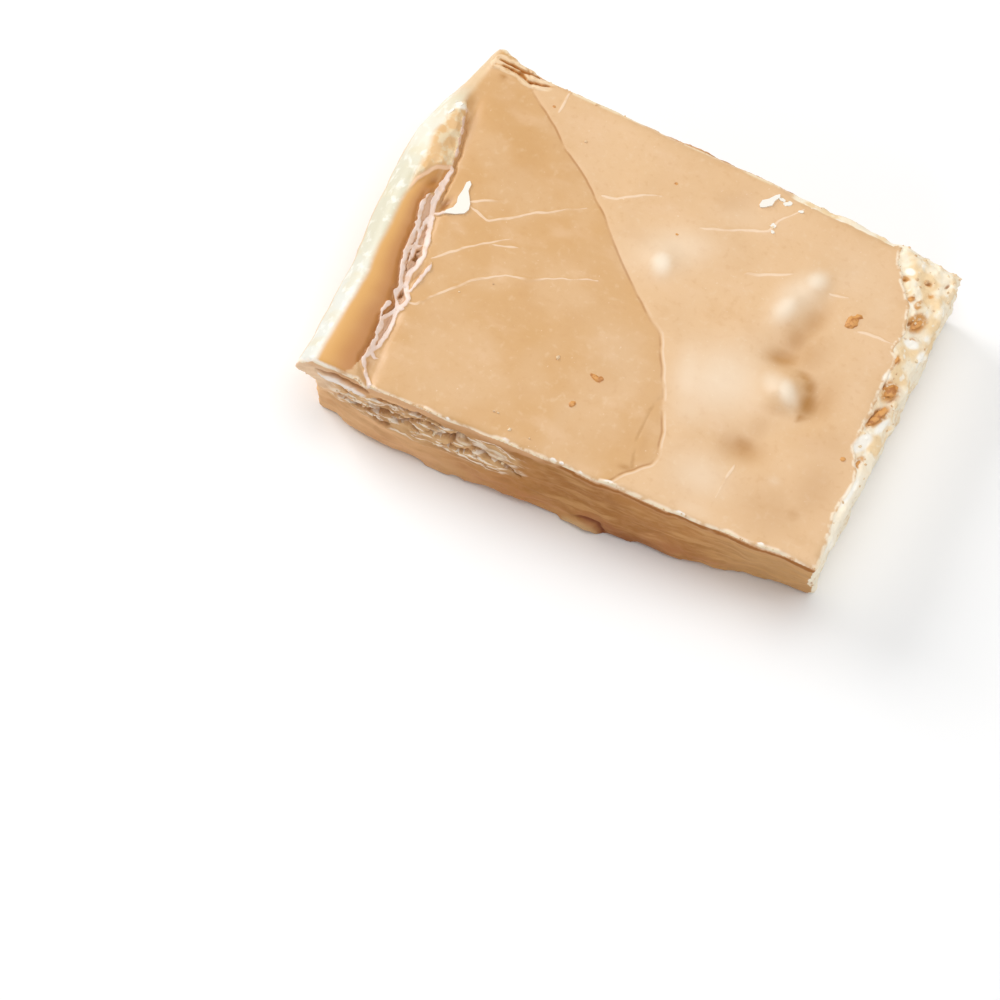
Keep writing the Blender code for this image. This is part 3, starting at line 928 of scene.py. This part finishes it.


# %% [markdown]
# ## The skin's colour
#
# The older pour, left of the seam, is a deeper tan than the later one. Over both lie faint clouds, then
# the seam's dark line with a pale bank on its right, the pale places with their painted highlight on
# the nut bumps, the warm places that are mostly painted shade round the bumps, and the healed hair
# cracks.

# %% Skin
skin = glazed(
    "D1A36C",
    ("DFB88B", ("seam", -0.4, 0.4)),
    ("DAB284", ("drift", 0.42, 0.62, 0.6)),
    ("E4BF98", ("smear", 0.5, 0.8, 0.4)),
    ("CC9C66", ("smear", 0.45, 0.2, 0.3)),
    ("EDD3B2", ("mottle", 0.55, 0.8, 0.22)),
    ("C8955F", ("mottle", 0.45, 0.25, 0.22)),
    ("F4DDC2", ("speck", 0.7, 0.8, 0.4)),
    ("B07A42", ("seam", -0.5, -0.1), ("seam", 0.25, 0.0, 0.75), ("smear", 0.3, 0.55)),
    ("EFD6BC", ("seam", 0.3, 0.5), ("seam", 0.9, 0.6, 0.5), ("across", 2.0, -6.0),
     ("smear", 0.3, 0.5)),
    ("BC8C52", ("branch", 0.6, 0.15, 0.75), ("smear", 0.3, 0.5)),
    # Painted highlight on the nut bumps, with paler skin over the nuts.
    ("F3E1C9", ("pale", 0.0, 1.0, 0.95)),
    # Mostly painted shade round the nut bumps and under the ridge.
    ("B27C3A", ("warm", 0.0, 1.0, 0.95)),
    ("F4DBC0", ("hair", 0.15, -0.04, 0.6), ("smear", 0.3, 0.5)),
)

# %% [markdown]
# ## The lip, the rim and the flaps
#
# The lip's inner slope is painted golden and darker down to the crack, as painted shade of a slope that
# faces away from the key light. Its outer flank is near white and cream with crumbly white flecks,
# partly dried skin and partly a painted highlight where the key light strikes it. The rims of the cuts
# are pale too, partly dried skin and partly a painted highlight along the edges. The skin at the far
# left corner lifted in thin flaps, and the slits between them are darkened with painted shade.

# %% Lip, rim and flaps
# Painted shade: the lip's inner slope, darker down towards the crack.
golden_slope_shade = glazed(
    "D9A45E",
    ("BC7F42", ("down_slope", 0.1, 0.75)),
    ("A3682F", ("down_slope", 0.75, 1.0, 0.8)),
)
broken = glazed("E0B680", ("E8D6B2", ("crumb", 0.45, 0.65, 0.8)))
# Partly painted highlight: the lip's outer flank, where the key light strikes it, over partly dried
# skin.
flank = glazed(
    "DEDDD2",
    ("D6D0B8", ("across", -26.0, -8.0)),
    ("E6E0CE", ("across", 6.0, 16.0, 0.9)),
    ("DCCFAA", ("smear", 0.45, 0.65, 0.5)),
    ("F4F2EA", ("crumb", 0.5, 0.7, 0.6)),
    ("DDB98A", ("across", 24.0, 31.0, 0.85)),
    ("DCBE92", ("outline", 0.1, 0.9, 0.75)),
)
skin = glazed(
    skin,
    (golden_slope_shade, ("slope", 0.0, 1.0)),
    (broken, ("facets", 0.1, 0.6)),
    (flank, ("flank", -0.9, 0.9)),
    ("FBF6EA", ("white", 0.3, 0.8, 0.9)),
    ("EBC29C", ("fold", 0.3, 0.8, 0.9)),
    # Pale rims of the cuts: partly dried skin, partly a painted highlight along the edges.
    ("FAE4CE", ("from_near", 1.3, 0.6, 0.9), ("crumb", 0.3, 0.55)),
    ("F4EDE4", ("from_near", 1.4, 0.8, 0.9), ("along", -44.0, -49.0)),
    ("FBF3EC", ("rim_bits", 0.3, 0.7, 0.95)),
    ("F4E3C0", ("edge", 1.1, 0.4, 0.8), ("crumb", 0.35, 0.55)),
    ("F2D6B0", ("flap", 0.15, 0.6, 0.75), ("crumb", 0.3, 0.55)),
    # Painted shade in the slits between the flaps.
    ("C58744", ("flap_slit", 0.25, -0.1)),
)

# %% [markdown]
# ## The broken inside's colour
#
# Broken fudge is darker towards the bottom and paler near the top. On the near side the brown base is
# partly painted shade, as that side faces away from the key and overhead lights. The left half of the
# near side is peach, with layered cream flakes that are partly painted light on the layers' upward
# edges. A dark line under the rim on the right half is a painted shadow of the rim, the brown in the
# splits and in the crease round the lump at the foot is painted shade, and a red-brown band along the
# foot right of the lump is a painted shadow. The right side is all cream.

# %% Inside
inside = glazed(
    # Brown base: partly painted shade on the near side.
    "BD8142",
    ("A46A2E", ("drift", 0.4, 0.62, 0.7)),
    ("C58E58", ("crumb", 0.48, 0.7, 0.35)),
    ("C08055", ("height", 9.0, 3.0, 0.6), ("smear", 0.35, 0.6)),
    ("C89A63", ("along", 30.0, 46.0, 0.75)),
    ("F0BF8B", ("along", -2.0, -36.0, 0.95), ("layer", 1.0, 0.3)),
    ("D8A568", ("layer", 0.46, 0.64, 0.5), ("along", -8.0, 4.0)),
    ("DCAA6C", ("streak", 0.5, 0.7, 0.22), ("along", -8.0, 4.0)),
    # Painted shadow: a red-brown band along the foot of the near side, right of the lump.
    ("8E4E28", ("height", 5.5, 1.5, 0.6), ("along", 6.0, 12.0), ("along", 36.0, 16.0)),
    ("B5824F", ("flaky", 0.1, 0.6, 0.6), ("along", -48.0, -38.0)),
    # Pale cream flakes: partly painted light on the layers' upward edges.
    ("F2C892", ("flaky", 0.1, 0.8), ("layer", 0.42, 0.56, 0.6)),
    ("FFF0DC", ("flaky", 0.1, 0.7), ("streak", 0.5, 0.6, 0.88)),
    ("F4D2AE", ("along", -44.5, -49.0, 0.85), ("height", 8.0, 13.0)),
    ("F8ECE2", ("under_slit", 0.2, 0.6)),
    ("E0AE80", ("below_top", 3.0, 1.0, 0.8)),
    # Painted shadow: a dark line under the rim on the right half of the near side.
    ("A56420", ("below_top", 0.8, 1.2), ("below_top", 2.3, 1.7, 0.95), ("along", -4.0, 4.0),
     ("smear", 0.3, 0.45)),
    # Painted shade in the splits.
    ("8F4B12", ("fissure", 0.32, -0.5, 0.9)),
    # Pale top edge of the sides: partly a painted highlight along the rim.
    ("F2D8BC", ("below_top", 0.9, 0.4, 0.9)),
    ("D0A876", ("over_crumb", -0.2, -1.2, 0.8), ("crumb", 0.3, 0.5)),
    # Painted shade in the crease round the lump at the foot.
    ("82421F", ("over_crumb", -0.4, 0.1, 0.85), ("over_crumb", 1.1, 0.3), ("along", 4.5, 9.5)),
)
cream = glazed(
    "F8EDD6",
    ("EBC99A", ("smear", 0.52, 0.7, 0.6), ("across", -14.0, -6.0)),
    ("E2BE8C", ("crumb", 0.52, 0.68, 0.6), ("below_top", 1.0, 5.0)),
    ("BC8650", ("mottle", 0.64, 0.72, 0.8), ("below_top", 3.0, 8.0)),
)
inside = glazed(inside, (cream, ("right_side", 0.2, 0.7)))

# %% The torn ledge and all coats together
torn = glazed(
    "F8EBD2",
    ("F0D2A4", ("lump", 0.42, 0.6, 0.95)),
    ("FBF6EA", ("crumb", 0.58, 0.7, 0.7)),
    ("FBF1DC", ("across", -8.0, -15.0, 0.85)),
    ("CF9450", ("orange", 0.15, 0.6, 0.95), ("mottle", 0.3, 0.55)),
    ("FDF9F0", ("white", 0.3, 0.7, 0.9)),
    # Painted shade in the pits.
    ("A0652C", ("pits", 0.3, 0.8, 0.85)),
)
torn_skin = glazed("EDD6C8", ("E6C2A6", ("crumb", 0.48, 0.68, 0.8)))
colour = glazed(
    skin,
    (inside, ("side", 0.2, 0.6)),
    ("F8E9D0", ("torn_edge", -0.8, -0.3, 0.8), ("mottle", 0.4, 0.6), ("below_top", 3.0, 1.5)),
    (torn, ("bare", 0.2, 0.7)),
    ("D8B295", ("between", 0.2, 0.8, 0.9)),
    # Painted shade in the crack's holes, in the groove at the foot of the lip and beside the right
    # strand.
    ("A06626", ("gap", 0.15, 0.95, 0.9)),
    (torn_skin, ("strand", 0.1, -0.08), ("across", 27.0, 24.0)),
)
tree.links.new(colour, shader.inputs["Base Color"])
print("nodes in the fudge material:", len(tree.nodes))

# %% [markdown]
# ## Gloss and pores
#
# The skin has a soft gloss, and what is broken or torn is matt and more grainy. Real sugar
# crystals are too fine to show, so the pores are drawn as coarse as the finest grain.

# %% Gloss and pores
torn_or_cut = {0: surface["side"], 1: surface["bare"]}
matt = add(tree, "Math", torn_or_cut, operation="MAXIMUM").outputs[0]
rough = add(tree, "MapRange", {"Value": matt, "To Min": 0.42, "To Max": 0.8}).outputs[0]
tree.links.new(rough, shader.inputs["Roughness"])
strength = add(tree, "MapRange", {"Value": matt, "To Min": 0.08, "To Max": 0.5}).outputs[0]
relief = {"Height": surface["speck"], "Strength": strength, "Distance": 0.2 * MM}
pores = add(tree, "Bump", relief)
tree.links.new(pores.outputs["Normal"], shader.inputs["Normal"])
shader.inputs["IOR"].default_value = 1.48

body.data.materials.clear()
body.data.materials.append(material)
only(body)
bpy.ops.object.shade_smooth_by_angle(angle=math.radians(75.0))
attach(body, "root")
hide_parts("fudge_slice")
print("triangles in the body:", sum(len(face.vertices) - 2 for face in body.data.polygons))

# %% [markdown]
# ## Dried flakes of skin
#
# Where the skin broke, thin flakes of it dried out and turned white. A small one is a low
# cylinder, squeezed to its size, whose corners are moved about at random. The two big ones have
# their own outlines, so a single point is extruded along the outline and the loop is filled.
# The flakes are joined, and then every point is lifted by the height of the body below it, so a
# flake bends with the surface it lies on. A shrinkwrap would do that too, but it would also
# flatten the thickness.

# %% One flake, and laying pieces down
FLAKE_CORNERS = 11
FLAKE_THICKNESS = 0.35 * MM
RAGGEDNESS = 0.55
ABOVE_ALL = 40.0 * MM


def on_plan(place):
    """A place on the slice's plan, from millimetres to the scene's metres."""
    return Vector((*(np.array(place) + MARKED_FROM), 0.0)) * MM


def surface_under(spot):
    """Whether a ray from above meets the body there, and the place where it does."""
    start = Vector((spot.x, spot.y, ABOVE_ALL))
    return body.ray_cast(start, Vector((0.0, 0.0, -1.0)))[:2]


def outlined_flake(points):
    """A flat flake whose outline is walked point by point, then filled and given its thickness."""
    bpy.ops.mesh.primitive_plane_add(size=MM)
    piece = bpy.context.object
    bpy.ops.object.mode_set(mode="EDIT")
    bpy.ops.mesh.merge(type="CENTER")
    route = [on_plan(point) for point in points]
    bpy.ops.transform.translate(value=route[0])
    for start, end in zip(route, route[1:] + route[:1]):
        bpy.ops.mesh.extrude_vertices_move(TRANSFORM_OT_translate={"value": end - start})
    bpy.ops.mesh.select_all(action="SELECT")
    bpy.ops.mesh.remove_doubles(threshold=0.01 * MM)
    bpy.ops.mesh.edge_face_add()
    bpy.ops.mesh.extrude_region_move(TRANSFORM_OT_translate={"value": (0.0, 0.0, FLAKE_THICKNESS)})
    bpy.ops.mesh.select_all(action="SELECT")
    bpy.ops.mesh.normals_make_consistent()
    bpy.ops.object.mode_set(mode="OBJECT")
    return piece


def flake(middle_x, middle_y, length, width, angle, seed):
    """One thin ragged flake at its place, with its half length and half width in millimetres."""
    bpy.ops.mesh.primitive_cylinder_add(
        vertices=FLAKE_CORNERS, radius=MM, depth=FLAKE_THICKNESS, end_fill_type="NGON")
    piece = bpy.context.object
    edit_all()
    bpy.ops.transform.resize(value=(length, width, 1.0), center_override=(0.0, 0.0, 0.0))
    bpy.ops.transform.vertex_random(offset=RAGGEDNESS * width * MM, seed=seed)
    bpy.ops.object.mode_set(mode="OBJECT")
    piece.rotation_euler.z = math.radians(angle)
    piece.location = on_plan((middle_x, middle_y))
    return piece


def joined(pieces, name):
    """Makes one object of the pieces, with its origin at the slice's."""
    only(pieces[0])
    for piece in pieces:
        piece.select_set(True)
    bpy.ops.object.join()
    bpy.ops.object.transform_apply(location=True, rotation=True, scale=True)
    bpy.context.object.name = name
    return bpy.context.object


def lay_down(piece):
    """Lifts every point of the piece by the height of the body's surface below it."""
    for point in piece.data.vertices:
        found, place = surface_under(point.co)
        if found:
            point.co.z += place.z


def finish_piece(piece, coating, angle=40.0):
    """Gives a piece its material and smooth shading, and rides it on the body."""
    piece.data.materials.clear()
    piece.data.materials.append(coating)
    only(piece)
    bpy.ops.object.shade_smooth_by_angle(angle=math.radians(angle))
    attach(piece, "root")


# %% Flakes by the crack, the far edge and the rim
CRACK_FLAKE = (
    (-41.5, 8.9), (-41.0, 9.5), (-40.4, 8.9), (-40.3, 7.3), (-39.5, 6.1), (-38.6, 4.7), (-38.3, 3.3),
    (-38.8, 2.2), (-40.4, 1.3), (-42.4, 0.5), (-42.4, 1.2), (-41.4, 2.5), (-41.2, 3.8),
    (-41.6, 5.1), (-41.4, 6.9),
)
FAR_FLAKE = (
    (14.1, 30.9), (14.2, 32.1), (15.3, 33.0), (16.2, 34.4), (16.9, 35.0), (17.2, 34.3), (16.6, 33.2),
    (16.5, 31.9), (15.4, 30.9), (14.5, 30.4),
)
FLAKES = (
    (19.2, 33.8, 1.0, 0.5, 35.0), (17.8, 34.1, 0.7, 0.35, 0.0),
    (18.6, 27.8, 0.6, 0.45, 20.0), (19.1, 26.4, 0.4, 0.3, 0.0), (22.3, 33.2, 0.6, 0.3, 20.0),
    (-50.8, 24.2, 1.0, 0.6, 20.0), (-51.4, 22.0, 0.9, 0.35, 70.0),
)
flakes = [outlined_flake(CRACK_FLAKE), outlined_flake(FAR_FLAKE)]
flakes += [flake(*row, seed) for seed, row in enumerate(FLAKES)]
sugar = joined(flakes, "sugar_flakes")
lay_down(sugar)

# Dried sugar: a dull white crust, much whiter than the skin that it lies on.
finish_piece(sugar, plain("dried_sugar_crust", "F0EBE0", 0.8))
print("flakes:", len(flakes), "triangles:", sum(len(f.vertices) - 2 for f in sugar.data.polygons))

# %% [markdown]
# ## Nut bits in the skin
#
# A few chopped nuts stick out of the skin and the torn ledge, as orange-brown bits. Each one is a
# small sphere with its points moved about, squashed to its size and half sunk in the surface. The
# place on the surface is found by a ray from above.

# %% Nut bits
NUT_ROUGHNESS = 0.3
NUT_HEIGHT_SHARE = 0.35


def rough_ball(subdivisions, roughness, seed):
    """A ball 1 mm in radius whose points are moved about by a share of that."""
    bpy.ops.mesh.primitive_ico_sphere_add(subdivisions=subdivisions, radius=MM)
    edit_all()
    bpy.ops.transform.vertex_random(offset=roughness * MM, seed=seed)
    bpy.ops.object.mode_set(mode="OBJECT")
    return bpy.context.object


def nut_bit(middle_x, middle_y, length, width, angle, seed):
    """One rough bit of nut with its half length and half width in millimetres, half sunk."""
    piece = rough_ball(2, NUT_ROUGHNESS, seed)
    piece.location = surface_under(on_plan((middle_x, middle_y)))[1]
    piece.rotation_euler.z = math.radians(angle)
    piece.scale = (length, width, NUT_HEIGHT_SHARE * width)
    return piece


NUTS = (
    (1.0, -19.3, 1.5, 0.55, -18.0), (2.1, -19.0, 0.6, 0.5, 0.0), (-0.7, -26.4, 0.8, 0.65, 60.0),
    (41.9, 14.9, 1.7, 1.1, 66.0), (42.6, 16.6, 0.8, 0.6, 10.0), (52.5, -13.4, 0.6, 0.5, 0.0),
    (-3.1, 27.7, 0.4, 0.3, 0.0), (2.0, 17.1, 0.35, 0.25, 0.0), (-33.2, 32.9, 0.4, 0.3, 0.0),
    (54.6, 5.2, 1.7, 1.4, 60.0), (54.8, -1.3, 2.6, 0.8, 70.0), (53.3, 21.0, 1.5, 0.9, 60.0),
    (53.2, 11.3, 1.0, 0.5, 80.0), (55.3, -13.0, 1.4, 0.4, 80.0), (50.4, 25.3, 0.7, 0.4, 50.0),
)
nuts = joined([nut_bit(*row, seed) for seed, row in enumerate(NUTS, start=50)], "nut_bits")

# Toasted walnut: orange-brown with darker skin in places, and a faint oily shine.
finish_piece(nuts, mottled("walnut", "D99C56", "B06E32", 1.2, 0.45, 0.65, roughness=0.5))
print("nut bits:", len(NUTS))

# %% [markdown]
# ## Crumbs
#
# Crumbs cling to the near and far rims, to the torn ledge and to the split near side. Three
# crumbs are modelled as balls of twenty faces with their points moved about, and copies of them
# are turned and scaled by chance. The chance numbers have a fixed seed, so every run makes the
# same crumbs. Each place has its number of crumbs and their radius in millimetres. A few pale
# dots on the skin are crumbs at places of their own.

# %% Three crumbs and their copies
CRUMB_ROUGHNESS = 0.35

chance = np.random.default_rng(11)
shapes = [rough_ball(1, CRUMB_ROUGHNESS, seed) for seed in (3, 8, 21)]
now_at = spots()
ledge = np.flatnonzero((bare > 0.6) & (x > 40.0))
on_rim = np.flatnonzero((from_near > 0.1) & (from_near < 0.7) & (turn[:, UP] > 0.6))
split = np.flatnonzero(flaky > 0.5)
far_rim = np.flatnonzero((from_far < 0.9) & (turn[:, UP] > 0.6) & (x > -45.0))
PLACES = ((ledge, 60, 0.34), (on_rim, 50, 0.22), (split, 40, 0.30), (far_rim, 30, 0.24))
PALE_DOTS = (
    (-24.1, 28.5, 0.35), (-8.0, -18.7, 0.6), (-13.9, -34.4, 0.45), (18.7, 27.5, 0.35),
    (-12.7, -34.6, 0.35), (-9.7, -37.1, 0.4), (-5.2, -37.3, 0.35), (-32.0, -14.0, 0.3),
    (-26.5, -9.5, 0.3),
)
crumbs = []
for points, count, radius in PLACES:
    for point in chance.choice(points, count, replace=False):
        crumbs.append((now_at[point], radius * chance.uniform(0.5, 1.4)))
for dot_x, dot_y, radius in PALE_DOTS:
    nearest = np.argmin(np.hypot(x - dot_x, y - dot_y) + 9.0 * (turn[:, UP] < 0.6))
    crumbs.append((now_at[nearest], radius))
pieces = []
for number, (place, radius) in enumerate(crumbs):
    piece = shapes[number % len(shapes)].copy()
    piece.data = piece.data.copy()
    bpy.context.collection.objects.link(piece)
    piece.location = Vector(place) * MM
    piece.rotation_euler = chance.uniform(0.0, math.pi, 3)
    piece.scale = radius * chance.uniform(0.6, 1.2, 3)
    pieces.append(piece)
crumb_pile = joined(pieces, "fudge_crumbs")
for shape in shapes:
    bpy.data.objects.remove(shape)

# Crumbs are dry fudge: cream where the sugar is bare and tan where butter holds it.
finish_piece(crumb_pile, mottled("dry_fudge", "EBD6B4", "D8B184", 5.0, 0.4, 0.6, roughness=0.85))
print("crumbs:", len(crumbs))

# %% [markdown]
# ## Floor and light
#
# A white card and four softboxes, as for a shop picture. The key stands low at the left, so the
# lip's flank is bright and its inner slope falls into a golden shade. The overhead light keeps
# the top even. Weak lights at the right and in front keep the cut sides from going black, and a
# weak white surround fills the rest.

# %% Floor
CARD_BELOW = 0.2 * MM

bpy.context.scene.view_settings.view_transform = "Standard"
bpy.ops.mesh.primitive_plane_add(size=3.0, location=(0.0, 0.0, -CARD_BELOW))
floor = bpy.context.object
floor.name = "floor"
# Matt white photo card: almost pure white, so it throws soft light back up on the cut sides.
floor.data.materials.append(plain("white_card", "F8F8F8", 0.9))

# %% Softboxes
world = bpy.data.worlds.new("studio")
bpy.context.scene.world = world
world.use_nodes = True
world.node_tree.nodes["Background"].inputs["Color"].default_value = linear("FFFFFF")
world.node_tree.nodes["Background"].inputs["Strength"].default_value = 0.2


def softbox(name, spot, size, power):
    """A rectangular light that faces the slice."""
    bpy.ops.object.light_add(type="AREA", location=spot)
    light = bpy.context.object
    light.name = name
    light.data.shape = "RECTANGLE"
    light.data.size, light.data.size_y = size
    light.data.energy = power
    light.rotation_euler = Vector(spot).to_track_quat("Z", "Y").to_euler()


softbox("overhead", (0.1, 0.1, 1.0), (0.9, 0.9), 6.2)
softbox("key", (-0.7, 0.15, 0.45), (0.45, 0.45), 4.5)
softbox("fill", (0.8, 0.2, 0.35), (0.5, 0.4), 1.4)
softbox("front", (0.25, -0.8, 0.4), (0.6, 0.4), 1.7)
